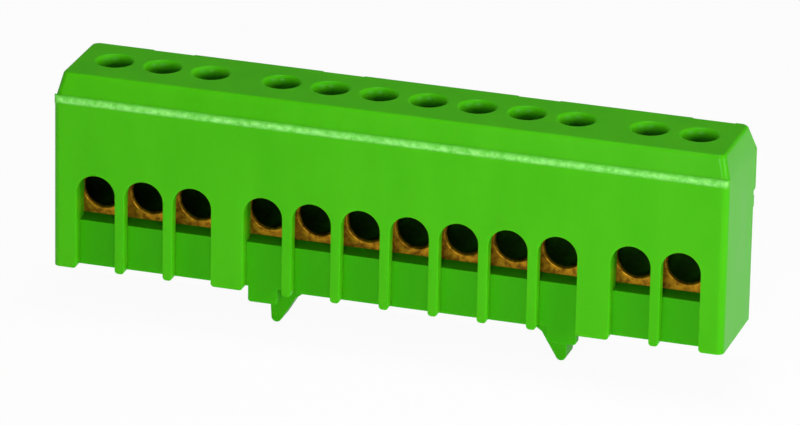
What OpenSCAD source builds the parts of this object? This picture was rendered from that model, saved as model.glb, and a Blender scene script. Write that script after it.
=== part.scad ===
// Earth terminal bar: a drilled brass bar in a green two-part housing for 35 mm rail.
// +X runs along the row of ports, -Y is the side that the wires enter, +Z points up.
// The origin lies on the rail seat, under the middle port, in the centre plane of the bar.

/* [Ports] */
// Number of ports in the left group
ports_left = 3; // [2:1:5]
// Number of ports in the middle group
ports_middle = 7; // [7:2:11]
// Number of ports in the right group
ports_right = 2; // [2:1:5]
// Distance between neighbouring port centres
port_pitch = 7.1; // [7:0.1:8]
// Distance between the port centres on both sides of a group gap
group_step = 10.4; // [10:0.1:13]
// Distance from an end port's centre to the end of the housing
end_margin = 6.3; // [6:0.1:8]
// Height of a window's arch centre above the centre of the wire hole behind it
arch_rise = 0.05; // [0:0.05:0.8]
// Radius of the flared corners at the foot of a window
flare_r = 0.5; // [0.2:0.1:0.6]

/* [Housing] */
// Distance from the bar's centre plane to the front wall's face
front_d = 7.9; // [7.6:0.1:9]
// Distance from the bar's centre plane to the lower rear wall's face
rear_d = 7.1; // [6.8:0.1:9]
// Space above the backed-out clamp screws
head_room = 2.2; // [1:0.1:5]
// Thickness of the upright walls
wall_t = 1.5; // [1.2:0.1:1.8]
// Thickness of the top
top_t = 1.8; // [1.6:0.1:2.2]
// Height of the drawn-in top above the bead
top_h = 3.8; // [3:0.1:4.4]
// How far the top is drawn in at the front
top_inset_front = 0.95; // [0.5:0.05:1.2]
// How far the top is drawn in at the rear
top_inset_rear = 1.6; // [0.8:0.1:1.8]
// How far the top is drawn in at each end
top_inset_end = 0.85; // [0.5:0.05:1.2]
// Radius of the upright corners
corner_r = 1; // [0.5:0.1:1.2]
// Radius of the edge around the top
top_edge_r = 0.5; // [0.2:0.1:0.6]
// Height of the rounded bead along the front
bead_h = 1.3; // [0.8:0.1:1.6]
// How far the bead stands out from the front wall
bead_proud = 0.2; // [0.1:0.05:0.4]
// How far the sloping front starts behind the front wall
bead_step = 0.3; // [0.1:0.05:0.4]

/* [Rear wall] */
// How far the upper rear band stands out from the lower rear wall
band_proud = 1; // [0.5:0.1:1.2]
// Height of the rear band, measured down from the top of the housing
band_h = 9.6; // [8:0.1:10]
// Height of the slope under the rear band
band_slope_h = 1.2; // [0.6:0.1:1.6]
// Height of the rounded finger ridge under the band
ridge_h = 1.6; // [1:0.1:2]
// How far the ridge stands out from the lower rear wall
ridge_proud = 0.35; // [0.2:0.05:0.6]
// Distance from the foot of the band down to the middle of the ridge
ridge_drop = 1.7; // [1.4:0.1:2.4]
// Width of the shallow grooves over the latches
groove_w = 6.1; // [5.6:0.1:6.6]
// Depth of the shallow grooves
groove_d = 0.65; // [0.3:0.05:0.8]

/* [Screwdriver holes] */
// Diameter of a screwdriver hole
driver_d = 4.7; // [4:0.1:5]
// Diameter of the hole's rounded rim at the top
rim_d = 5.8; // [5.4:0.1:6.4]
// Depth of the rounded rim
rim_depth = 1.2; // [0.6:0.1:1.3]

/* [Brass bar] */
// Thickness of the bar from front to back
bar_t = 9; // [8:0.1:9.4]
// Height of the bar
bar_h = 9; // [8.5:0.1:9.5]
// Diameter of a wire hole
wire_d = 5.6; // [4.8:0.1:5.7]
// Height of a wire hole's centre above the underside of the bar
wire_z = 4; // [3.6:0.05:4.3]
// Width of the chamfer at both ends of a wire hole
wire_chamfer = 0.3; // [0.1:0.05:0.4]

/* [Screws] */
// Pitch diameter of a clamp screw's thread
clamp_d = 4.5; // [3.5:0.1:4.8]
// Length of a clamp screw under its head
clamp_l = 8; // [6:0.5:9]
// Diameter of a clamp screw's head
clamp_head_d = 5.8; // [5.2:0.1:6]
// Height of a clamp screw's head
clamp_head_h = 2.4; // [1.8:0.1:2.8]
// Pitch diameter of a fixing screw's thread
fixing_d = 2.7; // [2.3:0.1:3]
// Length of a countersunk fixing screw with its head
fixing_l = 13.5; // [12:0.5:14]
// Diameter of a fixing screw's countersunk head
fixing_head_d = 5; // [4.4:0.1:5.4]
// Height of a fixing screw's countersunk head
fixing_head_h = 1.6; // [1.2:0.1:2]
// Width of the slots in the screw heads
slot_w = 0.9; // [0.6:0.1:1.2]
// Depth of the slots in the clamp screws' heads
slot_d = 1.1; // [0.8:0.1:1.4]
// Depth of the slots in the countersunk heads
fixing_slot_d = 0.7; // [0.5:0.1:0.9]

/* [Base] */
// Height of the deck of the base
base_h = 6.8; // [6.4:0.1:7.4]
// Height of the strip on the deck that the bar lies on
bar_seat_h = 0.55; // [0.3:0.05:0.8]
// Width of that strip from front to back
bar_seat_t = 6; // [4:0.1:7]
// Thickness of the deck over the pockets in the underside
deck_t = 1.5; // [1.2:0.1:2]
// Thickness of the ribs between the pockets
pocket_rib_t = 1.4; // [1:0.1:1.8]
// How far the rail seat stands out from the underside
seat_h = 0.2; // [0.1:0.05:0.4]
// Diameter of the boss around a fixing screw
boss_d = 5.4; // [5:0.1:6.4]

/* [Latches] */
// Distance from the middle port to the inner latches
latch_inner_x = 14.2; // [12:0.1:14.6]
// Distance from the middle of a group gap to the outer latches
latch_outer_x = 12.7; // [10:0.1:13]
// Width of a latch nose
latch_w = 5; // [3:0.1:5.2]
// Height of a latch nose
latch_h = 2.4; // [1.6:0.1:2.8]
// Height of the underside of a latch nose above the rail seat
latch_z = 2.1; // [1.8:0.1:2.5]

/* [Rail feet] */
// Width of the mounting rail
rail_w = 35; // [34:0.5:36]
// Thickness of the mounting rail's flange
rail_t = 1; // [0.8:0.1:1.5]
// How far a hook reaches under the flange
hook_grip = 0.4; // [0.3:0.05:1]
// Height of a hook below the rail seat
hook_h = 6.1; // [5:0.1:7]
// Width of a hook across the bar
hook_w = 3.65; // [2.5:0.05:5]
// Distance from the bar's centre plane to the hook's middle
hook_y = -1.1; // [-2:0.1:2]
// Width of a hook's blunt tip
hook_tip_w = 1.5; // [0.8:0.1:1.6]
// Distance from the rail's edge to the hook's outer face
hook_back = 4.2; // [3.4:0.1:5]
// How far the outer face is drawn in at the tip
hook_taper = 0.2; // [0:0.05:0.4]
// Height of the upright nose of a hook
hook_nose_h = 0.25; // [0.1:0.05:0.5]
// How far the nose stands out from the top of the hook's slope
hook_nose_out = 0.85; // [0.4:0.05:1.2]
// Distance from the rail's edge to the foot tab beside it
foot_gap = 2.05; // [1.2:0.05:3]
// Width of a foot tab
foot_w = 4.3; // [3:0.1:4.6]
// Height of a foot tab below the rail seat
foot_h = 2.1; // [1.4:0.1:2.6]
// Thickness of a foot tab from front to back
foot_t = 1.4; // [1:0.1:2]
// Radius of the lower corners of a foot tab
foot_r = 0.4; // [0.2:0.05:0.8]

/* [Clearances] */
// Gap between the base and the walls of the housing
shell_gap = 0.05; // [0.02:0.01:0.15]
// Gap between a latch nose and its window
latch_gap = 0.2; // [0.1:0.05:0.4]
// Gap between a screw and the hole that it is threaded into
thread_gap = 0.02; // [0.01:0.01:0.05]
// Gap between a fixing screw and its hole through the bar
fixing_gap = 0.3; // [0.1:0.05:0.4]
// Space under the tip of a fixing screw
pilot_gap = 0.5; // [0.2:0.1:1]
// Gap between the bar and its stops in front and behind
stop_gap = 0.1; // [0.05:0.05:0.3]
// Gap between an end of the bar and the end wall
bar_end_gap = 0.2; // [0.1:0.05:0.5]
// Gap between a wire that fills its hole and the side of the window
port_gap = 0.05; // [0.05:0.05:0.2]
// Gap between the mounting rail and the hooks
rail_gap = 0.15; // [0.05:0.05:0.3]
// Gap between a backed-out clamp screw and the wire hole
wire_clear = 0.15; // [0.05:0.05:0.4]
// Gap between the rail seat's outline and the noses of the hooks
seat_gap = 0.45; // [0.3:0.05:1]

/* [Hidden] */
port_count = ports_left + ports_middle + ports_right;
middle_half = (ports_middle - 1) / 2 * port_pitch;
left_start = -middle_half - group_step - (ports_left - 1) * port_pitch;
right_start = middle_half + group_step;
port_x = concat(
    [for (i = [0 : ports_left - 1]) left_start + i * port_pitch],
    [for (i = [0 : ports_middle - 1]) -middle_half + i * port_pitch],
    [for (i = [0 : ports_right - 1]) right_start + i * port_pitch]
);
gap_x = middle_half + group_step / 2;
x_left = port_x[0] - end_margin;
x_right = port_x[port_count - 1] + end_margin;
latch_x = [for (side = [-1, 1]) each [side * latch_inner_x, side * (gap_x + latch_outer_x)]];

port_w = wire_d + 2 * port_gap;
partition_t = port_pitch - port_w;
group_first = [port_x[0], port_x[ports_left], port_x[ports_left + ports_middle]];
group_last = [port_x[ports_left - 1], port_x[ports_left + ports_middle - 1], port_x[port_count - 1]];

y_front = -front_d;
y_rear = rear_d;
y_band = rear_d + band_proud;
y_front_in = y_front + wall_t;
y_rear_in = y_rear - wall_t;
y_band_in = y_band - wall_t;
y_base_front = y_front_in + shell_gap;
y_base_rear = y_rear_in - shell_gap;

bar_overhang = end_margin - wall_t - bar_end_gap;
bar_z = base_h + bar_seat_h;
bar_top_z = bar_z + bar_h;
wire_hole_z = bar_z + wire_z;
arch_z = wire_hole_z + arch_rise;
clamp_tip_z = wire_hole_z + wire_d / 2 + wire_clear;
top_in_z = clamp_tip_z + clamp_l + clamp_head_h + head_room;
housing_h = top_in_z + top_t;
shoulder_z = housing_h - top_h;
band_z = housing_h - band_h;
hook_nose_x = rail_w / 2 - hook_grip;
cut = 1;

$fn = 48;

// Rectangle in X and Y with round corners
module rounded_rect(x0, x1, y0, y1, r) {
    translate([x0 + r, y0]) square([x1 - x0 - 2 * r, y1 - y0]);
    translate([x0, y0 + r]) square([x1 - x0, y1 - y0 - 2 * r]);
    for (x = [x0 + r, x1 - r], y = [y0 + r, y1 - r])
        translate([x, y]) circle(r = r);
}

// Plate of the housing's outline with round upright corners; end_inset shortens both ends
module slab(y0, y1, z, h, end_inset = 0) {
    translate([0, 0, z])
        linear_extrude(h)
            rounded_rect(x_left + end_inset, x_right - end_inset, y0, y1, corner_r);
}

// Prism along X with an outline given in Y and Z
module along_x(x0, x1, outline) {
    translate([x0, 0, 0])
        rotate([90, 0, 90])
            linear_extrude(x1 - x0)
                polygon(outline);
}

// Prism along Y with an outline given in X and Z
module along_y(y0, y1, outline) {
    translate([0, y1, 0])
        rotate([90, 0, 0])
            linear_extrude(y1 - y0)
                polygon(outline);
}

// Rounded strip of diameter h along the housing, with its middle at y and z
module strip(y, z, h) {
    translate([x_left, y, z])
        rotate([0, 90, 0])
            cylinder(d = h, h = x_right - x_left);
}

// Window for a wire: upright sides, an arched head and flared corners at the foot
module window(x) {
    translate([x, y_front_in, 0])
        rotate([90, 0, 0])
            linear_extrude(wall_t + cut) {
                translate([-port_w / 2, -cut]) square([port_w, arch_z + cut]);
                translate([0, arch_z]) circle(d = port_w);
                difference() {
                    translate([-port_w / 2 - flare_r, -cut]) square([port_w + 2 * flare_r, flare_r + cut]);
                    for (side = [-1, 1])
                        translate([side * (port_w / 2 + flare_r), flare_r]) circle(r = flare_r);
                }
            }
}

// Drawn-in top, with a round edge between its slopes and its flat
module housing_top() {
    hull() {
        slab(y_front + bead_step, y_band, shoulder_z - bead_h / 2, bead_h / 2);
        for (a = [0 : 30 : 90]) {
            inset = top_edge_r * (1 - cos(a));
            slab(y_front + top_inset_front + inset, y_band - top_inset_rear - inset,
                 housing_h - top_edge_r, top_edge_r * sin(a) + 0.001, top_inset_end + inset);
        }
    }
}

// The outside of the housing: upright walls, front bead, rear band and ridge, drawn-in top
module housing_outside() {
    slab(y_front, y_rear, 0, shoulder_z);
    intersection() {
        slab(y_front, y_band, band_z, band_h - top_h);
        along_x(x_left, x_right, [
            [y_front, band_z], [y_rear, band_z], [y_band, band_z + band_slope_h],
            [y_band, shoulder_z], [y_front, shoulder_z]
        ]);
    }
    intersection() {
        slab(y_front - bead_proud, y_band, shoulder_z - bead_h, 2 * bead_h);
        strip(y_front - bead_proud + bead_h / 2, shoulder_z, bead_h);
    }
    intersection() {
        slab(y_front, y_rear + ridge_proud, 0, band_z);
        strip(y_rear + ridge_proud - ridge_h / 2, band_z - ridge_drop, ridge_h);
    }
    housing_top();
}

// The space inside the housing: it widens behind the rear band and narrows under the top
module housing_inside() {
    neck_z = shoulder_z - top_t;
    along_x(x_left + wall_t, x_right - wall_t, [
        [y_front_in, -cut], [y_rear_in, -cut], [y_rear_in, band_z + wall_t],
        [y_band_in, band_z + wall_t + band_slope_h], [y_band_in, neck_z], [y_front_in, neck_z]
    ]);
    along_x(x_left + wall_t + top_inset_end, x_right - wall_t - top_inset_end, [
        [y_front_in, neck_z - cut], [y_band_in, neck_z - cut], [y_band_in, neck_z],
        [y_band_in - top_inset_rear, top_in_z], [y_front_in + top_inset_front, top_in_z],
        [y_front_in, neck_z]
    ]);
}

// Partition inside the front wall; it stops the bar from moving forward
module front_stop(x0, x1) {
    along_x(x0, x1, [
        [y_front_in - cut / 2, base_h + shell_gap], [-bar_t / 2 - stop_gap, base_h + shell_gap],
        [-bar_t / 2 - stop_gap, shoulder_z], [y_front_in - cut / 2, shoulder_z]
    ]);
}

// Rib inside the rear wall; it stops the bar from moving back
module rear_stop(x0, x1) {
    along_x(x0, x1, [
        [bar_t / 2 + stop_gap, base_h + shell_gap], [y_rear_in + cut / 2, base_h + shell_gap],
        [y_rear_in + cut / 2, bar_top_z], [bar_t / 2 + stop_gap, bar_top_z]
    ]);
}

// Front stops at both ends of every group, and rear stops on both sides of every port
module bar_stops() {
    side = port_w / 2;
    for (x = group_first) front_stop(x - side - partition_t, x - side);
    for (x = group_last) front_stop(x + side, x + side + partition_t);
    for (x = port_x) {
        rear_stop(x - side - partition_t, x - side);
        rear_stop(x + side, x + side + partition_t);
    }
}

// Hole in the top for a screwdriver, with a rounded rim that leads it in
module driver_hole(x) {
    lead = (rim_d - driver_d) / 2;
    rim = [for (a = [0 : 15 : 90]) [rim_d / 2 - lead * cos(a), rim_depth * (sin(a) - 1)]];
    translate([x, 0, housing_h]) {
        rotate_extrude()
            polygon(concat([[0, -rim_depth]], rim, [[rim_d / 2, cut], [0, cut]]));
        translate([0, 0, -top_t - cut / 2]) cylinder(d = driver_d, h = top_t + cut / 2);
    }
}

// Shallow groove down the sloping rear and the rear band, over a latch
module latch_groove(x) {
    along_x(x - groove_w / 2, x + groove_w / 2, [
        [y_band - groove_d, band_z - cut / 2], [y_band - groove_d, shoulder_z],
        [y_band - top_inset_rear - groove_d, housing_h], [y_band - top_inset_rear - groove_d, housing_h + cut],
        [y_band + cut, housing_h + cut], [y_band + cut, band_z - cut / 2]
    ]);
}

// Window in the lower rear wall that a latch nose of the base snaps into
module latch_window(x) {
    half = latch_w / 2 + latch_gap;
    along_x(x - half, x + half, [
        [y_rear_in - cut, latch_z - latch_gap], [y_rear + cut, latch_z - latch_gap],
        [y_rear + cut, latch_z + latch_h + latch_gap], [y_rear_in - cut, latch_z + latch_h + latch_gap]
    ]);
}

module cover() {
    color("limegreen")
        difference() {
            union() {
                difference() {
                    housing_outside();
                    housing_inside();
                }
                bar_stops();
            }
            for (x = port_x) {
                window(x);
                driver_hole(x);
            }
            for (x = latch_x) {
                latch_groove(x);
                latch_window(x);
            }
        }
}

// Hook for one edge of the rail; side is -1 for the left edge and 1 for the right
module rail_hook(side) {
    edge = rail_w / 2;
    slot_z = -rail_t - 2 * rail_gap;
    outer_x = edge + hook_back;
    tip_x = outer_x - hook_taper - hook_tip_w;
    tip_r = hook_tip_w / 2;
    outline = concat(
        [[edge + rail_gap, base_h - deck_t], [edge + rail_gap, slot_z]],
        [[hook_nose_x, slot_z], [hook_nose_x, slot_z - hook_nose_h],
         [hook_nose_x + hook_nose_out, slot_z - hook_nose_h - 0.7 * hook_nose_out]],
        [for (a = [-142 : 13 : 0]) [tip_x + tip_r + tip_r * cos(a), tip_r - hook_h + tip_r * sin(a)]],
        [[outer_x, -foot_h], [outer_x, base_h - deck_t]]
    );
    along_y(hook_y - hook_w / 2, hook_y + hook_w / 2, [for (p = outline) [side * p[0], p[1]]]);
}

// Tabs with round lower corners below the front and rear faces, beside the rail and the hook
module foot_tabs(side) {
    inner = rail_w / 2 + foot_gap;
    outline = concat(
        [[inner, deck_t]],
        [for (a = [180 : 15 : 270]) [inner + foot_r + foot_r * cos(a), foot_r - foot_h + foot_r * sin(a)]],
        [for (a = [270 : 15 : 360]) [inner + foot_w - foot_r + foot_r * cos(a), foot_r - foot_h + foot_r * sin(a)]],
        [[inner + foot_w, deck_t]]
    );
    for (y = [y_base_front, y_base_rear - foot_t])
        along_y(y, y + foot_t, [for (p = outline) [side * p[0], p[1]]]);
}

// Pocket in the underside, between two neighbouring ports
module base_pocket(x) {
    pocket_w = port_pitch - pocket_rib_t;
    translate([x - pocket_w / 2, y_base_front + wall_t, -cut])
        cube([pocket_w, y_base_rear - y_base_front - 2 * wall_t, base_h - deck_t + cut]);
}

// Nose on the back of the base, with a sloping top that leads it into the housing
module latch_nose(x) {
    tip = y_rear - latch_gap;
    along_x(x - latch_w / 2, x + latch_w / 2, [
        [y_base_rear - wall_t / 2, latch_z], [tip, latch_z], [tip, latch_z + latch_h / 3],
        [y_base_rear, latch_z + latch_h], [y_base_rear - wall_t / 2, latch_z + latch_h]
    ]);
}

// Pad that lies on the rail; it ends short of the hooks
module rail_seat() {
    half = hook_nose_x - seat_gap;
    translate([-half, y_base_front, 0])
        cube([2 * half, y_base_rear - y_base_front, seat_h + deck_t]);
}

// Strip along the deck that carries the bar
module bar_seat() {
    translate([port_x[0] - bar_overhang, -bar_seat_t / 2, base_h - deck_t / 2])
        cube([port_x[port_count - 1] - port_x[0] + 2 * bar_overhang, bar_seat_t, deck_t / 2 + bar_seat_h]);
}

module base() {
    foot_out = rail_w / 2 + foot_gap + foot_w;
    pocket_reach = (port_pitch - pocket_rib_t) / 2;
    color("forestgreen")
        difference() {
            union() {
                difference() {
                    union() {
                        translate([0, 0, seat_h])
                            linear_extrude(base_h - seat_h)
                                rounded_rect(x_left + wall_t + shell_gap, x_right - wall_t - shell_gap,
                                             y_base_front, y_base_rear, corner_r / 2);
                        rail_seat();
                        bar_seat();
                    }
                    for (n = [1 : port_count - 1]) {
                        x = (port_x[n - 1] + port_x[n]) / 2;
                        if (abs(x) + pocket_reach < hook_nose_x - seat_gap - pocket_rib_t / 2
                            || (abs(x) - pocket_reach > foot_out + pocket_rib_t
                                && abs(abs(x) - gap_x) > boss_d / 2 + pocket_reach))
                            base_pocket(x);
                    }
                }
                for (side = [-1, 1]) {
                    rail_hook(side);
                    foot_tabs(side);
                }
                for (x = latch_x) latch_nose(x);
            }
            for (side = [-1, 1])
                translate([side * gap_x, 0, bar_top_z - fixing_l - pilot_gap])
                    cylinder(d = fixing_d + 2 * thread_gap, h = fixing_l);
        }
}

// Wire hole through the bar, chamfered at both faces
module wire_hole(x) {
    translate([x, 0, wire_hole_z])
        rotate([90, 0, 0]) {
            cylinder(d = wire_d, h = bar_t + cut, center = true);
            for (side = [0, 1])
                mirror([0, 0, side])
                    translate([0, 0, bar_t / 2 - wire_chamfer])
                        cylinder(d1 = wire_d, d2 = wire_d + 2 * (wire_chamfer + cut), h = wire_chamfer + cut);
        }
}

module brass_bar() {
    color("goldenrod")
        difference() {
            translate([port_x[0] - bar_overhang, -bar_t / 2, bar_z])
                cube([port_x[port_count - 1] - port_x[0] + 2 * bar_overhang, bar_t, bar_h]);
            for (x = port_x) {
                wire_hole(x);
                translate([x, 0, wire_hole_z]) cylinder(d = clamp_d + 2 * thread_gap, h = bar_h);
            }
            for (side = [-1, 1])
                translate([side * gap_x, 0, 0]) {
                    translate([0, 0, bar_z - cut]) cylinder(d = fixing_d + 2 * fixing_gap, h = bar_h + 2 * cut);
                    countersunk_head();
                }
        }
}

// Cone of a countersunk head, flush with the top of the bar
module countersunk_head() {
    translate([0, 0, bar_top_z - fixing_head_h])
        cylinder(d1 = fixing_d, d2 = fixing_head_d, h = fixing_head_h);
}

// Slot across the head of a screw, cut down from its top
module driver_slot(head_d, depth) {
    translate([-head_d, -slot_w / 2, -depth]) cube([2 * head_d, slot_w, depth + cut]);
}

module terminal_screw(x) {
    color("silver")
        translate([x, 0, clamp_tip_z])
            difference() {
                union() {
                    cylinder(d = clamp_d, h = clamp_l);
                    translate([0, 0, clamp_l]) cylinder(d = clamp_head_d, h = clamp_head_h);
                }
                translate([0, 0, clamp_l + clamp_head_h]) driver_slot(clamp_head_d, slot_d);
            }
}

module bar_screw(side) {
    color("gainsboro")
        translate([side * gap_x, 0, 0])
            difference() {
                union() {
                    translate([0, 0, bar_top_z - fixing_l]) cylinder(d = fixing_d, h = fixing_l);
                    countersunk_head();
                }
                translate([0, 0, bar_top_z]) driver_slot(fixing_head_d, fixing_slot_d);
            }
}

base();
cover();
brass_bar();
for (n = [1 : port_count])
    terminal_screw(port_x[n - 1]);
bar_screw(-1);  // bar_screw_left
bar_screw(1);  // bar_screw_right
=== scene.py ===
"""Looks of an earth terminal bar: a moulded green housing and base around a drilled brass bar.

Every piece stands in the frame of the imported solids, in metres. Sizes are written in millimetres and
turned to metres by MM. The housing, the base, the bar and the fixing screws are softened copies of
their solids; the clamp screws are one threaded screw, repeated over the ports by a node tree.
"""

from __future__ import annotations

import logging
import math
from dataclasses import dataclass
from enum import Enum
from typing import Any, Mapping, Sequence

import bmesh
import bpy
from mathutils import Matrix, Vector

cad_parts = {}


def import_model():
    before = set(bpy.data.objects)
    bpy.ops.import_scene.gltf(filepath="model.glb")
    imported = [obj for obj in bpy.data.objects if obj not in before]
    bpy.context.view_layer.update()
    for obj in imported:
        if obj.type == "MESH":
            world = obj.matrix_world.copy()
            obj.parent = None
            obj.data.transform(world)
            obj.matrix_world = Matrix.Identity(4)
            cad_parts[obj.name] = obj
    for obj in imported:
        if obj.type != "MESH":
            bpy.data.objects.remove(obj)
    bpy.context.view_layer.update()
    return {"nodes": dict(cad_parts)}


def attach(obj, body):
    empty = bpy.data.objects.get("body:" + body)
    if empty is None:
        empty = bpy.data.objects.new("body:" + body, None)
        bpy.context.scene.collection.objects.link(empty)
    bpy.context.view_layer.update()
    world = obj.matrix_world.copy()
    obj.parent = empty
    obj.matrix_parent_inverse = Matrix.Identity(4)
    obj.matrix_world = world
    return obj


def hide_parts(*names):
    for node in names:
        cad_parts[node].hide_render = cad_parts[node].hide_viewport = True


LOG = logging.getLogger("terminal_bar")
MM = 0.001
BODY = "root"
WHITE = "FFFFFF"
# vertices nearer than this are one, and slivers thinner than this are removed
WELD_MM = 0.002
# faces that turn less than this are one flat face
FLAT_DEG = 0.4
# vertices within this distance of a face's plane lie in it
ON_FACE_MM = 0.01


def linear(hex_colour: str) -> tuple[float, float, float, float]:
    """Turns an sRGB hex colour to linear.

    Args:
        hex_colour: Six hex digits, such as "46B31E".

    Returns:
        Linear red, green and blue, and an alpha of 1.
    """
    parts = [int(hex_colour[i : i + 2], 16) / 255 for i in (0, 2, 4)]
    return (*(p / 12.92 if p <= 0.04045 else ((p + 0.055) / 1.055) ** 2.4 for p in parts), 1.0)


def per_feature(size_mm: float) -> float:
    """Gives the texture scale, per metre, at which a feature measures size_mm."""
    return 1.0 / (size_mm * MM)


def add(
    tree: bpy.types.NodeTree,
    kind: str,
    inputs: Mapping[str | int, Any] | None = None,
    **settings: Any,
) -> bpy.types.Node:
    """Adds a node with its settings, values and links.

    Args:
        tree: Tree that gets the node.
        kind: Blender's name of the node type.
        inputs: Input name or number to a value, or to an output socket that is linked to it.
        **settings: Properties of the node itself.

    Returns:
        The new node.
    """
    node = tree.nodes.new(kind)
    for key, value in settings.items():
        setattr(node, key, value)
    for key, value in (inputs or {}).items():
        if isinstance(value, bpy.types.NodeSocket):
            tree.links.new(value, node.inputs[key])
        else:
            node.inputs[key].default_value = value
    return node


def blank_material(name: str) -> bpy.types.Material:
    """Makes a material with an empty node tree.

    Args:
        name: Name of the material.

    Returns:
        The new material.
    """
    material = bpy.data.materials.new(name)
    material.use_nodes = True
    material.node_tree.nodes.clear()
    return material


class Layout(Enum):
    """Named groups of ports, as (X of the first port's centre in millimetres, number of ports)."""

    LEFT = (-45.9, 3)
    MIDDLE = (-21.3, 7)
    RIGHT = (31.7, 2)


# distance between the centres of two ports in a group
PITCH_MM = 7.1


@dataclass(frozen=True)
class MouldedPolyamide:
    """Injection moulded polyamide: even colour, satin skin, faint flow marks, light that sinks in.

    Attributes:
        name: Name of the material.
        colour: Main colour as sRGB hex.
        light: Lighter colour of the flow marks.
        dark: Darker colour of the flow marks.
        roughness: Roughness between the flow marks' least and most.
        roughness_spread: What the flow marks take from the roughness, and what they add.
        skin_mm: Size of the moulded skin's grain.
        flow_mm: Spacing of the flow marks.
        skin_depth_mm: Depth of the skin's grain.
        ior: Index of refraction.
        specular: Level of the reflection, where 0.5 is what the index of refraction gives.
        sink: Share of the light that sinks in.
        sink_radius: Relative reach of the sunk red, green and blue light.
        sink_mm: Reach of the sunk light.
        bead_highlight_z_mm: Height of the painted highlight along the bead, where there is one.
        bead_highlight: Colour of the painted highlight.
        bead_highlight_fade_mm: Distances above and below the highlight's line where it starts and ends
            to fade.
        bead_highlight_y_mm: Y where the painted highlight starts and ends to fade behind the front.
        speck_mm: Size of the painted highlight's specks.
    """

    name: str
    colour: str
    light: str
    dark: str
    roughness: float = 0.34
    roughness_spread: tuple[float, float] = (0.05, 0.06)
    skin_mm: float = 0.35
    flow_mm: float = 6.0
    skin_depth_mm: float = 0.006
    ior: float = 1.53
    specular: float = 0.07
    sink: float = 0.55
    sink_radius: tuple[float, float, float] = (0.35, 1.0, 0.12)
    sink_mm: float = 1.4
    bead_highlight_z_mm: float | None = None
    bead_highlight: str = "A6EE8C"
    bead_highlight_fade_mm: tuple[float, float] = (0.15, 0.65)
    bead_highlight_y_mm: tuple[float, float] = (-7.75, -7.35)
    speck_mm: float = 0.7

    def with_bead_highlight(
        self, tree: bpy.types.NodeTree, place: bpy.types.NodeSocket, body: bpy.types.NodeSocket,
    ) -> bpy.types.NodeSocket:
        """Paints a highlight into the colour along the bead, pale and in specks: a painted highlight.
        What makes the real one pale isn't known.

        Args:
            tree: Material's tree.
            place: Object coordinates.
            body: Colour without the line.

        Returns:
            Colour with the line.
        """
        split = add(tree, "ShaderNodeSeparateXYZ", {"Vector": place})
        off = add(tree, "ShaderNodeMath", {
            0: split.outputs["Z"], 1: self.bead_highlight_z_mm * MM}, operation="SUBTRACT")
        far = add(tree, "ShaderNodeMath", {0: off.outputs[0]}, operation="ABSOLUTE")
        near_mm, far_mm = self.bead_highlight_fade_mm
        band = add(tree, "ShaderNodeMapRange", {
            "Value": far.outputs[0], "From Min": near_mm * MM, "From Max": far_mm * MM,
            "To Min": 1.0, "To Max": 0.0})
        fade_y_mm, end_y_mm = self.bead_highlight_y_mm
        front = add(tree, "ShaderNodeMapRange", {
            "Value": split.outputs["Y"], "From Min": fade_y_mm * MM, "From Max": end_y_mm * MM,
            "To Min": 1.0, "To Max": 0.0})
        specks = add(tree, "ShaderNodeTexNoise", {
            "Vector": place, "Scale": per_feature(self.speck_mm), "Detail": 3.0})
        share = add(tree, "ShaderNodeMapRange", {
            "Value": specks.outputs["Fac"], "From Min": 0.3, "From Max": 0.65,
            "To Min": 0.2, "To Max": 0.75})
        both = add(tree, "ShaderNodeMath", {
            0: band.outputs[0], 1: front.outputs[0]}, operation="MULTIPLY")
        highlight_share = add(tree, "ShaderNodeMath", {
            0: both.outputs[0], 1: share.outputs[0]}, operation="MULTIPLY")
        return add(tree, "ShaderNodeMix", {
            0: highlight_share.outputs[0], 6: body, 7: linear(self.bead_highlight)}, data_type="RGBA").outputs[2]

    def make(self) -> bpy.types.Material:
        """Builds the node material.

        Returns:
            The new material.
        """
        material = blank_material(self.name)
        tree = material.node_tree
        place = add(tree, "ShaderNodeTexCoord").outputs["Object"]
        stretch = add(tree, "ShaderNodeMapping", {"Vector": place, "Scale": (1.0, 1.0, 0.35)})
        # broad flow marks, drawn out along the height
        flow = add(tree, "ShaderNodeTexNoise", {
            "Vector": stretch.outputs["Vector"], "Scale": per_feature(self.flow_mm),
            "Detail": 3.0, "Roughness": 0.55})
        # fine grain of the skin, a little coarse so that it shows
        skin = add(tree, "ShaderNodeTexNoise", {
            "Vector": place, "Scale": per_feature(self.skin_mm), "Detail": 2.0, "Roughness": 0.6})
        spread = add(tree, "ShaderNodeMapRange", {
            "Value": flow.outputs["Fac"], "From Min": 0.3, "From Max": 0.7})
        tone = add(tree, "ShaderNodeMix", {
            0: spread.outputs["Result"], 6: linear(self.dark), 7: linear(self.light)}, data_type="RGBA")
        body = add(tree, "ShaderNodeMix", {
            0: 0.5, 6: linear(self.colour), 7: tone.outputs[2]}, data_type="RGBA")
        colour = body.outputs[2]
        # painted highlight: the bead's line is painted pale in specks
        if self.bead_highlight_z_mm is not None:
            colour = self.with_bead_highlight(tree, place, colour)
        gloss = add(tree, "ShaderNodeMapRange", {
            "Value": flow.outputs["Fac"], "From Min": 0.3, "From Max": 0.7,
            "To Min": self.roughness - self.roughness_spread[0],
            "To Max": self.roughness + self.roughness_spread[1]})
        bump = add(tree, "ShaderNodeBump", {
            "Height": skin.outputs["Fac"], "Strength": 0.35, "Distance": self.skin_depth_mm * MM})
        shader = add(tree, "ShaderNodeBsdfPrincipled", {
            "Base Color": colour, "Roughness": gloss.outputs["Result"],
            "Normal": bump.outputs["Normal"], "IOR": self.ior, "Specular IOR Level": self.specular,
            "Subsurface Weight": self.sink, "Subsurface Radius": self.sink_radius,
            "Subsurface Scale": self.sink_mm * MM})
        add(tree, "ShaderNodeOutputMaterial", {"Surface": shader.outputs["BSDF"]})
        return material


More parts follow.
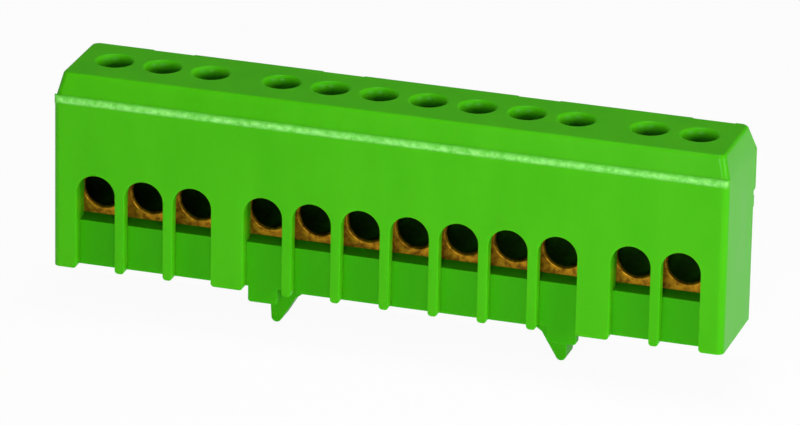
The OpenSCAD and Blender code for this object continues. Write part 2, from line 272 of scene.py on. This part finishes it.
@dataclass(frozen=True)
class DrilledBrass:
    """Drawn and drilled brass bar: warm metal with fine drawing lines and dull patches.

    Attributes:
        name: Name of the material.
        colour: Clean metal as sRGB hex.
        dull: Dull patches as sRGB hex.
        bore_shade: Painted shade behind the bar's face, so in the holes, as sRGB hex.
        line_mm: Spacing of the drawing lines.
        line_depth_mm: Depth of the drawing lines.
        stain_mm: Size of the dull patches.
        roughness: Roughness of the clean metal.
        bore_y_mm: Y where the painted shade starts, and where it is full.
        bore_cover: Share of the painted shade where it is full.
    """

    name: str
    colour: str
    dull: str
    bore_shade: str = "140E04"
    line_mm: float = 0.3
    line_depth_mm: float = 0.01
    stain_mm: float = 0.9
    roughness: float = 0.3
    bore_y_mm: tuple[float, float] = (-4.4, -3.9)
    bore_cover: float = 0.95

    def make(self) -> bpy.types.Material:
        """Builds the node material.

        Returns:
            The new material.
        """
        material = blank_material(self.name)
        tree = material.node_tree
        place = add(tree, "ShaderNodeTexCoord").outputs["Object"]
        drawn = add(tree, "ShaderNodeMapping", {"Vector": place, "Scale": (0.04, 1.0, 1.0)})
        lines = add(tree, "ShaderNodeTexNoise", {
            "Vector": drawn.outputs["Vector"], "Scale": per_feature(self.line_mm), "Detail": 2.0})
        stain = add(tree, "ShaderNodeTexNoise", {
            "Vector": place, "Scale": per_feature(self.stain_mm), "Detail": 4.0, "Roughness": 0.6})
        cover = add(tree, "ShaderNodeMapRange", {
            "Value": stain.outputs["Fac"], "From Min": 0.42, "From Max": 0.62})
        metal = add(tree, "ShaderNodeMix", {
            0: cover.outputs["Result"], 6: linear(self.colour), 7: linear(self.dull)}, data_type="RGBA")
        # painted shade: the holes are painted dark behind the bar's face; shade or dirt, the
        # cause isn't known
        start_mm, full_mm = self.bore_y_mm
        depth = add(tree, "ShaderNodeSeparateXYZ", {"Vector": place})
        inside = add(tree, "ShaderNodeMapRange", {
            "Value": depth.outputs["Y"], "From Min": start_mm * MM, "From Max": full_mm * MM,
            "To Max": self.bore_cover})
        bore_shaded = add(tree, "ShaderNodeMix", {
            0: inside.outputs["Result"], 6: metal.outputs[2], 7: linear(self.bore_shade)}, data_type="RGBA")
        gloss = add(tree, "ShaderNodeMapRange", {
            "Value": stain.outputs["Fac"], "To Min": self.roughness, "To Max": self.roughness + 0.2})
        bump = add(tree, "ShaderNodeBump", {
            "Height": lines.outputs["Fac"], "Strength": 0.4, "Distance": self.line_depth_mm * MM})
        shader = add(tree, "ShaderNodeBsdfPrincipled", {
            "Base Color": bore_shaded.outputs[2], "Metallic": 1.0, "Roughness": gloss.outputs["Result"],
            "Normal": bump.outputs["Normal"]})
        add(tree, "ShaderNodeOutputMaterial", {"Surface": shader.outputs["BSDF"]})
        return material


@dataclass(frozen=True)
class ZincPlatedSteel:
    """Turned and zinc plated steel: pale bluish metal with fine turning marks.

    Attributes:
        name: Name of the material.
        colour: Plated metal as sRGB hex.
        dull: Duller patches as sRGB hex.
        mark_mm: Spacing of the turning marks.
        mark_depth_mm: Depth of the turning marks.
        cloud_mm: Size of the duller patches.
        roughness: Least and most roughness.
    """

    name: str
    colour: str
    dull: str
    mark_mm: float = 0.15
    mark_depth_mm: float = 0.006
    cloud_mm: float = 1.4
    roughness: tuple[float, float] = (0.26, 0.46)

    def make(self) -> bpy.types.Material:
        """Builds the node material.

        Returns:
            The new material.
        """
        material = blank_material(self.name)
        tree = material.node_tree
        place = add(tree, "ShaderNodeTexCoord").outputs["Object"]
        marks = add(tree, "ShaderNodeTexNoise", {
            "Vector": place, "Scale": per_feature(self.mark_mm), "Detail": 3.0})
        cloud = add(tree, "ShaderNodeTexNoise", {
            "Vector": place, "Scale": per_feature(self.cloud_mm), "Detail": 2.0})
        metal = add(tree, "ShaderNodeMix", {
            0: cloud.outputs["Fac"], 6: linear(self.colour), 7: linear(self.dull)}, data_type="RGBA")
        gloss = add(tree, "ShaderNodeMapRange", {
            "Value": marks.outputs["Fac"], "To Min": self.roughness[0],
            "To Max": self.roughness[1]})
        bump = add(tree, "ShaderNodeBump", {
            "Height": marks.outputs["Fac"], "Strength": 0.3, "Distance": self.mark_depth_mm * MM})
        shader = add(tree, "ShaderNodeBsdfPrincipled", {
            "Base Color": metal.outputs[2], "Metallic": 1.0, "Roughness": gloss.outputs["Result"],
            "Normal": bump.outputs["Normal"]})
        add(tree, "ShaderNodeOutputMaterial", {"Surface": shader.outputs["BSDF"]})
        return material


@dataclass(frozen=True)
class StudioPaper:
    """White background paper that reads as white to the lens and keeps a soft shadow.

    Attributes:
        name: Name of the material.
        glow: Share of plain white that the lens and reflections see.
        tint: Colour of the paper as the lamps light it, as sRGB hex.
    """

    name: str
    glow: float = 0.94
    tint: str = "F4F4F4"

    def make(self) -> bpy.types.Material:
        """Builds the node material.

        Returns:
            The new material.
        """
        material = blank_material(self.name)
        tree = material.node_tree
        rays = add(tree, "ShaderNodeLightPath")
        seen = add(tree, "ShaderNodeMath", {
            0: rays.outputs["Is Camera Ray"], 1: rays.outputs["Is Glossy Ray"]}, operation="MAXIMUM")
        shown = add(tree, "ShaderNodeMath", {
            0: seen.outputs[0], 1: rays.outputs["Is Transmission Ray"]}, operation="MAXIMUM")
        share = add(tree, "ShaderNodeMath", {0: shown.outputs[0], 1: self.glow}, operation="MULTIPLY")
        paper = add(tree, "ShaderNodeBsdfDiffuse", {"Color": linear(self.tint)})
        white = add(tree, "ShaderNodeEmission", {"Color": linear(WHITE), "Strength": 1.0})
        mixed = add(tree, "ShaderNodeMixShader", {
            0: share.outputs[0], 1: paper.outputs[0], 2: white.outputs[0]})
        add(tree, "ShaderNodeOutputMaterial", {"Surface": mixed.outputs[0]})
        return material


def new_object(name: str, mesh: bpy.types.Mesh, finish: bpy.types.Material) -> bpy.types.Object:
    """Links a mesh as an object at the origin, with its finish.

    Args:
        name: Name of the piece.
        mesh: Mesh with its place in its vertices.
        finish: Material of the piece.

    Returns:
        The new object.
    """
    piece = bpy.data.objects.new(name, mesh)
    bpy.context.scene.collection.objects.link(piece)
    mesh.materials.clear()
    mesh.materials.append(finish)
    return piece


def applied(piece: bpy.types.Object) -> bpy.types.Object:
    """Turns a piece's modifiers into plain mesh and removes them.

    Args:
        piece: Object with live modifiers.

    Returns:
        The same object, with the finished mesh.
    """
    bpy.context.view_layer.update()
    graph = bpy.context.evaluated_depsgraph_get()
    made = bpy.data.meshes.new_from_object(piece.evaluated_get(graph))
    made.name = piece.name
    piece.modifiers.clear()
    piece.data = made
    return piece


@dataclass
class SoftenedCopy:
    """A piece that keeps the form of its solid and gets the small edge radii of the real one.

    Attributes:
        piece_name: Name of the piece.
        node: Solid that it stands for.
        slot: Material slot of the record; not used.
        edge_mm: Radius of the softened edges.
        corner_deg: Smallest turn between two faces that is softened.
        face_y_mm: Y of a face whose edges are rounded more, such as the front with its windows.
        face_edge_mm: Radius of those edges.
    """

    piece_name: str
    node: str
    slot: str
    edge_mm: float
    corner_deg: float = 40.0
    face_y_mm: float | None = None
    face_edge_mm: float = 0.55

    def round_face_edges(self, shape: bmesh.types.BMesh) -> None:
        """Rounds the sharp edges that lie in the plane face_y_mm.

        Args:
            shape: Mesh in metres.
        """
        plane = self.face_y_mm * MM
        edges = [
            edge for edge in shape.edges
            if len(edge.link_faces) == 2
            and all(abs(v.co.y - plane) < ON_FACE_MM * MM for v in edge.verts)
            and edge.calc_face_angle(0.0) > math.radians(self.corner_deg)]
        bmesh.ops.bevel(
            shape, geom=edges, offset=self.face_edge_mm * MM, segments=4, profile=0.5,
            affect="EDGES", clamp_overlap=True)
        LOG.info("%s: %d edges rounded on the face", self.piece_name, len(edges))

    def build(
        self, nodes: Mapping[str, bpy.types.Object], finish: bpy.types.Material,
    ) -> bpy.types.Object:
        """Builds, softens and seats the piece.

        Args:
            nodes: Solids by name.
            finish: Material of the piece.

        Returns:
            The finished piece.
        """
        mesh = nodes[self.node].data.copy()
        shape = bmesh.new()
        shape.from_mesh(mesh)
        bmesh.ops.remove_doubles(shape, verts=shape.verts, dist=WELD_MM * MM)
        bmesh.ops.dissolve_degenerate(shape, edges=shape.edges, dist=WELD_MM * MM)
        bmesh.ops.dissolve_limit(
            shape, angle_limit=math.radians(FLAT_DEG), verts=shape.verts, edges=shape.edges)
        if self.face_y_mm is not None:
            self.round_face_edges(shape)
        for face in shape.faces:
            face.smooth = True
        shape.to_mesh(mesh)
        shape.free()
        piece = new_object(self.piece_name, mesh, finish)
        bevel = piece.modifiers.new("edges", "BEVEL")
        bevel.width = self.edge_mm * MM
        bevel.segments = 3
        bevel.limit_method = "ANGLE"
        bevel.angle_limit = math.radians(self.corner_deg)
        bevel.use_clamp_overlap = True
        bevel.harden_normals = False
        normals = piece.modifiers.new("normals", "WEIGHTED_NORMAL")
        normals.keep_sharp = True
        applied(piece)
        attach(piece, BODY)
        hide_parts(self.node)
        LOG.info("%s: %d faces from %s", piece.name, len(piece.data.polygons), self.node)
        return piece


@dataclass
class ClampScrews:
    """Slotted clamp screws, one over each wire hole, turned to chance angles as a driver leaves them.

    Attributes:
        tip_z_mm: Height of the tips.
        shank_mm: Length under the head.
        thread_mm: Pitch diameter of the thread.
        thread_pitch_mm: Rise of the thread in one turn.
        head_d_mm: Diameter of the head.
        head_h_mm: Height of the head.
        slot_w_mm: Width of the slot.
        slot_d_mm: Depth of the slot.
        slot_block_mm: Length of the block that cuts the slot.
        head_edge_mm: Size of the edges' chamfer on the head.
        ridge_mm: Height of the thread's ridge over the pitch diameter, and its depth under it.
        ridge_fade_mm: Length over which the thread grows from nothing at both ends.
        sides: Points around the screw.
        rings: Rings of points in one turn of the thread.
        seed: Seed of the chance angles.
    """

    tip_z_mm: float = 14.3
    shank_mm: float = 8.0
    thread_mm: float = 4.5
    thread_pitch_mm: float = 0.8
    head_d_mm: float = 5.8
    head_h_mm: float = 2.4
    slot_w_mm: float = 0.9
    slot_d_mm: float = 1.1
    slot_block_mm: float = 9.0
    head_edge_mm: float = 0.25
    ridge_mm: float = 0.04
    ridge_fade_mm: float = 0.6
    sides: int = 40
    rings: int = 10
    seed: int = 7

    def thread_ring(self, shape: bmesh.types.BMesh, z: float) -> list[bmesh.types.BMVert]:
        """Adds one ring of points of the threaded shank.

        Args:
            shape: Mesh in millimetres.
            z: Height of the ring over the tip.

        Returns:
            The ring's points in order.
        """
        base = self.thread_mm / 2 - self.ridge_mm
        ring = []
        for side in range(self.sides):
            turn = side / self.sides
            phase = (z / self.thread_pitch_mm - turn) % 1.0
            fade = min(1.0, z / self.ridge_fade_mm, (self.shank_mm - z) / self.ridge_fade_mm)
            radius = base + 2 * self.ridge_mm * fade * (0.5 - abs(phase - 0.5))
            angle = 2 * math.pi * turn
            ring.append(shape.verts.new((radius * math.cos(angle), radius * math.sin(angle), z)))
        return ring

    def round_ring(
        self, shape: bmesh.types.BMesh, radius: float, z: float,
    ) -> list[bmesh.types.BMVert]:
        """Adds one round ring of points.

        Args:
            shape: Mesh in millimetres.
            radius: Radius of the ring.
            z: Height of the ring over the tip.

        Returns:
            The ring's points in order.
        """
        angles = [2 * math.pi * side / self.sides for side in range(self.sides)]
        return [shape.verts.new((radius * math.cos(a), radius * math.sin(a), z)) for a in angles]

    def turned_mesh(self) -> bpy.types.Mesh:
        """Turns the shank and the head on the Z axis, without the slot.

        Returns:
            The mesh in metres.
        """
        shape = bmesh.new()
        count = int(self.shank_mm / self.thread_pitch_mm * self.rings)
        outline = [self.thread_ring(shape, self.shank_mm * row / count) for row in range(count + 1)]
        edge, head = self.head_edge_mm, self.head_d_mm / 2
        top = self.shank_mm + self.head_h_mm
        for radius, z in (
            (head - edge, self.shank_mm), (head, self.shank_mm + edge),
            (head, top - edge), (head - edge, top),
        ):
            outline.append(self.round_ring(shape, radius, z))
        for low, high in zip(outline, outline[1:]):
            for s in range(self.sides):
                after = (s + 1) % self.sides
                shape.faces.new((low[s], low[after], high[after], high[s]))
        shape.faces.new(list(reversed(outline[0])))
        shape.faces.new(outline[-1])
        bmesh.ops.scale(shape, vec=(MM, MM, MM), verts=shape.verts)
        bmesh.ops.recalc_face_normals(shape, faces=shape.faces)
        mesh = bpy.data.meshes.new("one_clamp_screw")
        shape.to_mesh(mesh)
        shape.free()
        return mesh

    def slot_cutter(self) -> bpy.types.Object:
        """Makes the block that cuts the slot.

        Returns:
            The block, across the top of the head.
        """
        mesh = bpy.data.meshes.new("slot_cutter")
        block = bmesh.new()
        bmesh.ops.create_cube(block, size=1.0)
        size = (self.slot_block_mm * MM, self.slot_w_mm * MM, 2 * self.slot_d_mm * MM)
        bmesh.ops.scale(block, vec=size, verts=block.verts)
        top = self.shank_mm + self.head_h_mm
        bmesh.ops.translate(block, vec=(0, 0, top * MM), verts=block.verts)
        block.to_mesh(mesh)
        block.free()
        cutter = bpy.data.objects.new("slot_cutter", mesh)
        bpy.context.scene.collection.objects.link(cutter)
        return cutter

    def one_screw(self) -> bpy.types.Mesh:
        """Turns one threaded screw and cuts its slot.

        Returns:
            The mesh of one screw, with its tip at the origin.
        """
        screw = bpy.data.objects.new("one_clamp_screw", self.turned_mesh())
        bpy.context.scene.collection.objects.link(screw)
        cutter = self.slot_cutter()
        cut = screw.modifiers.new("slot", "BOOLEAN")
        cut.operation = "DIFFERENCE"
        cut.solver = "EXACT"
        cut.object = cutter
        applied(screw)
        mesh = screw.data
        bpy.data.objects.remove(screw)
        bpy.data.objects.remove(cutter)
        return mesh

    def repeat_tree(self, finish: bpy.types.Material) -> bpy.types.GeometryNodeTree:
        """Builds the tree that repeats its input over the ports.

        Args:
            finish: Material set on the result.

        Returns:
            The node tree.
        """
        tree = bpy.data.node_groups.new("screws_over_ports", "GeometryNodeTree")
        face = tree.interface
        face.new_socket("Geometry", in_out="INPUT", socket_type="NodeSocketGeometry")
        for name, value in (("Pitch", PITCH_MM * MM), ("Tip height", self.tip_z_mm * MM)):
            face.new_socket(name, in_out="INPUT", socket_type="NodeSocketFloat").default_value = value
        face.new_socket("Seed", in_out="INPUT", socket_type="NodeSocketInt").default_value = self.seed
        face.new_socket("Geometry", in_out="OUTPUT", socket_type="NodeSocketGeometry")
        source = add(tree, "NodeGroupInput")
        rows = []
        for group in Layout:
            start, count = group.value
            begin = add(tree, "ShaderNodeCombineXYZ", {
                "X": start * MM, "Z": source.outputs["Tip height"]})
            step = add(tree, "ShaderNodeCombineXYZ", {"X": source.outputs["Pitch"]})
            rows.append(add(tree, "GeometryNodeMeshLine", {
                "Count": count, "Start Location": begin.outputs[0],
                "Offset": step.outputs[0]}, mode="OFFSET"))
        joined = add(tree, "GeometryNodeJoinGeometry")
        for row in rows:
            tree.links.new(row.outputs["Mesh"], joined.inputs["Geometry"])
        chance = add(tree, "FunctionNodeRandomValue", {
            2: 0.0, 3: 2 * math.pi, "Seed": source.outputs["Seed"]}, data_type="FLOAT")
        turn = add(tree, "ShaderNodeCombineXYZ", {"Z": chance.outputs[1]})
        placed = add(tree, "GeometryNodeInstanceOnPoints", {
            "Points": joined.outputs[0], "Instance": source.outputs["Geometry"],
            "Rotation": turn.outputs[0]})
        real = add(tree, "GeometryNodeRealizeInstances", {"Geometry": placed.outputs[0]})
        dressed = add(tree, "GeometryNodeSetMaterial", {
            "Geometry": real.outputs[0], "Material": finish})
        add(tree, "NodeGroupOutput", {"Geometry": dressed.outputs[0]})
        return tree

    def build(self, finish: bpy.types.Material) -> bpy.types.Object:
        """Repeats the screw over the ports and seats the result.

        Args:
            finish: Material of the screws.

        Returns:
            The finished piece.
        """
        piece = new_object("clamp_screws", self.one_screw(), finish)
        tree = self.repeat_tree(finish)
        repeat = piece.modifiers.new("repeat", "NODES")
        repeat.node_group = tree
        values = {"Pitch": PITCH_MM * MM, "Tip height": self.tip_z_mm * MM, "Seed": self.seed}
        for item in tree.interface.items_tree:
            if item.item_type == "SOCKET" and item.in_out == "INPUT" and item.name in values:
                repeat[item.identifier] = values[item.name]
        applied(piece)
        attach(piece, BODY)
        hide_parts(*[f"terminal_screw_{n}" for n in range(1, 13)])
        LOG.info("%s: %d faces", piece.name, len(piece.data.polygons))
        return piece


@dataclass
class Studio:
    """Pale floor, soft lamps and the camera.

    Attributes:
        floor_z_mm: Height of the floor under the hooks.
        target_mm: Point that the camera looks at.
        azimuth_deg: Camera's turn to the right of the front.
        elevation_deg: Camera's height above the horizon.
        roll_deg: Camera's roll.
        distance_mm: Distance from the camera to the target.
        lens_mm: Focal length.
        sensor_mm: Width of the camera's sensor.
        clip_m: Least and most distance that the camera sees.
        sky: Strength of the even light from all round.
        floor_reach_m: Reach of the floor on each side of the origin.
        lamp_aim_mm: Point that the lamps face.
        lamps: Name, place in millimetres, side in millimetres and power in watts of each lamp.
    """

    floor_z_mm: float = -6.2
    target_mm: tuple[float, float, float] = (-1.3855, -7.9, 14.790)
    azimuth_deg: float = 17.033
    elevation_deg: float = 21.397
    roll_deg: float = 1.099
    distance_mm: float = 972.92
    lens_mm: float = 317.806
    sensor_mm: float = 36.0
    clip_m: tuple[float, float] = (0.05, 20.0)
    sky: float = 0.14
    floor_reach_m: float = 4.0
    lamp_aim_mm: tuple[float, float, float] = (0.0, 0.0, 14.0)
    lamps: Sequence[tuple[str, tuple[float, float, float], float, float]] = (
        ("front", (82.0, -386.0, 77.0), 130.0, 1.0),
        ("overhead", (20.0, 30.0, 420.0), 110.0, 0.68),
        ("side", (620.0, -166.0, 150.0), 240.0, 2.5),
    )

    def camera(self) -> bpy.types.Object:
        """Sets the camera at its angle and makes it the scene's own.

        Returns:
            The camera.
        """
        a, e, roll = (math.radians(v) for v in (self.azimuth_deg, self.elevation_deg, self.roll_deg))
        back = Vector((math.sin(a) * math.cos(e), -math.cos(a) * math.cos(e), math.sin(e)))
        across = Vector((math.cos(a), math.sin(a), 0.0))
        upright = Vector((-math.sin(a) * math.sin(e), math.cos(a) * math.sin(e), math.cos(e)))
        right = across * math.cos(roll) + upright * math.sin(roll)
        up = upright * math.cos(roll) - across * math.sin(roll)
        data = bpy.data.cameras.new("camera")
        data.lens, data.sensor_width = self.lens_mm, self.sensor_mm
        data.clip_start, data.clip_end = self.clip_m
        camera = bpy.data.objects.new("camera", data)
        bpy.context.scene.collection.objects.link(camera)
        place = (Vector(self.target_mm) + back * self.distance_mm) * MM
        turn = Matrix((right, up, back)).transposed().to_4x4()
        camera.matrix_world = Matrix.Translation(place) @ turn
        bpy.context.scene.camera = camera
        return camera

    def lamp(
        self, name: str, place_mm: tuple[float, float, float], size_mm: float, power: float,
    ) -> bpy.types.Object:
        """Hangs one soft square lamp that faces the middle of the bar.

        Args:
            name: Name of the lamp.
            place_mm: Place of the lamp.
            size_mm: Side of the lamp.
            power: Power in watts.

        Returns:
            The lamp.
        """
        data = bpy.data.lights.new(name, "AREA")
        data.shape, data.size, data.energy = "SQUARE", size_mm * MM, power
        lamp = bpy.data.objects.new(name, data)
        lamp.location = Vector(place_mm) * MM
        away = lamp.location - Vector(self.lamp_aim_mm) * MM
        lamp.rotation_euler = away.to_track_quat("Z", "Y").to_euler()
        bpy.context.scene.collection.objects.link(lamp)
        return lamp

    def lay_floor(self) -> None:
        """Lays the white paper under the hooks."""
        mesh = bpy.data.meshes.new("floor")
        shape = bmesh.new()
        bmesh.ops.create_grid(shape, x_segments=4, y_segments=4, size=self.floor_reach_m)
        bmesh.ops.translate(shape, vec=(0, 0, self.floor_z_mm * MM), verts=shape.verts)
        shape.to_mesh(mesh)
        shape.free()
        floor = new_object("floor", mesh, StudioPaper("white_background_paper").make())

    def set_sky(self) -> None:
        """Sets the even light from all round; the lens itself sees plain white."""
        world = bpy.data.worlds.new("even_sky")
        world.use_nodes = True
        tree = world.node_tree
        tree.nodes.clear()
        rays = add(tree, "ShaderNodeLightPath")
        level = add(tree, "ShaderNodeMix", {
            0: rays.outputs["Is Camera Ray"], 2: self.sky, 3: 1.0}, data_type="FLOAT")
        sky = add(tree, "ShaderNodeBackground", {
            "Color": linear(WHITE), "Strength": level.outputs[0]})
        add(tree, "ShaderNodeOutputWorld", {"Surface": sky.outputs[0]})
        bpy.context.scene.world = world

    def build(self) -> None:
        """Lays the floor, sets the sky, hangs the lamps and sets the camera."""
        self.lay_floor()
        self.set_sky()
        for name, place, size, power in self.lamps:
            self.lamp(name, place, size, power)
        self.camera()
        bpy.context.scene.view_settings.view_transform = "Standard"
        LOG.info("studio: floor, sky, camera and %d lamps", len(self.lamps))


def main() -> None:
    """Builds the terminal bar and its studio."""
    logging.basicConfig(level=logging.INFO, format="%(name)s %(message)s", force=True)
    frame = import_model()
    nodes = frame["nodes"]
    # the cover's bead gets a painted highlight at a height of 25 mm
    cover_finish = MouldedPolyamide(
        "green_polyamide_moulded_cover", "46B20C", "4CB810", "40AA08", bead_highlight_z_mm=25.0).make()
    base_finish = MouldedPolyamide(
        "green_polyamide_moulded_base", "38A602", "3EAC04", "329F00", roughness=0.46).make()
    brass = DrilledBrass("brass_drawn_and_drilled", "B07E1C", "6A4610").make()
    plated = ZincPlatedSteel("steel_zinc_plated_turned", "C9CCCF", "9DA0A4").make()
    SoftenedCopy(
        "moulded_cover", "cover", "cover_plastic", edge_mm=0.22, face_y_mm=-7.9,
    ).build(nodes, cover_finish)
    SoftenedCopy("moulded_base", "base", "base_plastic", edge_mm=0.25).build(nodes, base_finish)
    SoftenedCopy("drilled_bar", "brass_bar", "bar_brass", edge_mm=0.08).build(nodes, brass)
    ClampScrews().build(plated)
    for side in ("left", "right"):
        SoftenedCopy(
            f"fixing_screw_{side}", f"bar_screw_{side}", "fixing_screw_steel", edge_mm=0.06,
        ).build(nodes, plated)
    Studio().build()


if __name__ == "__main__":
    main()
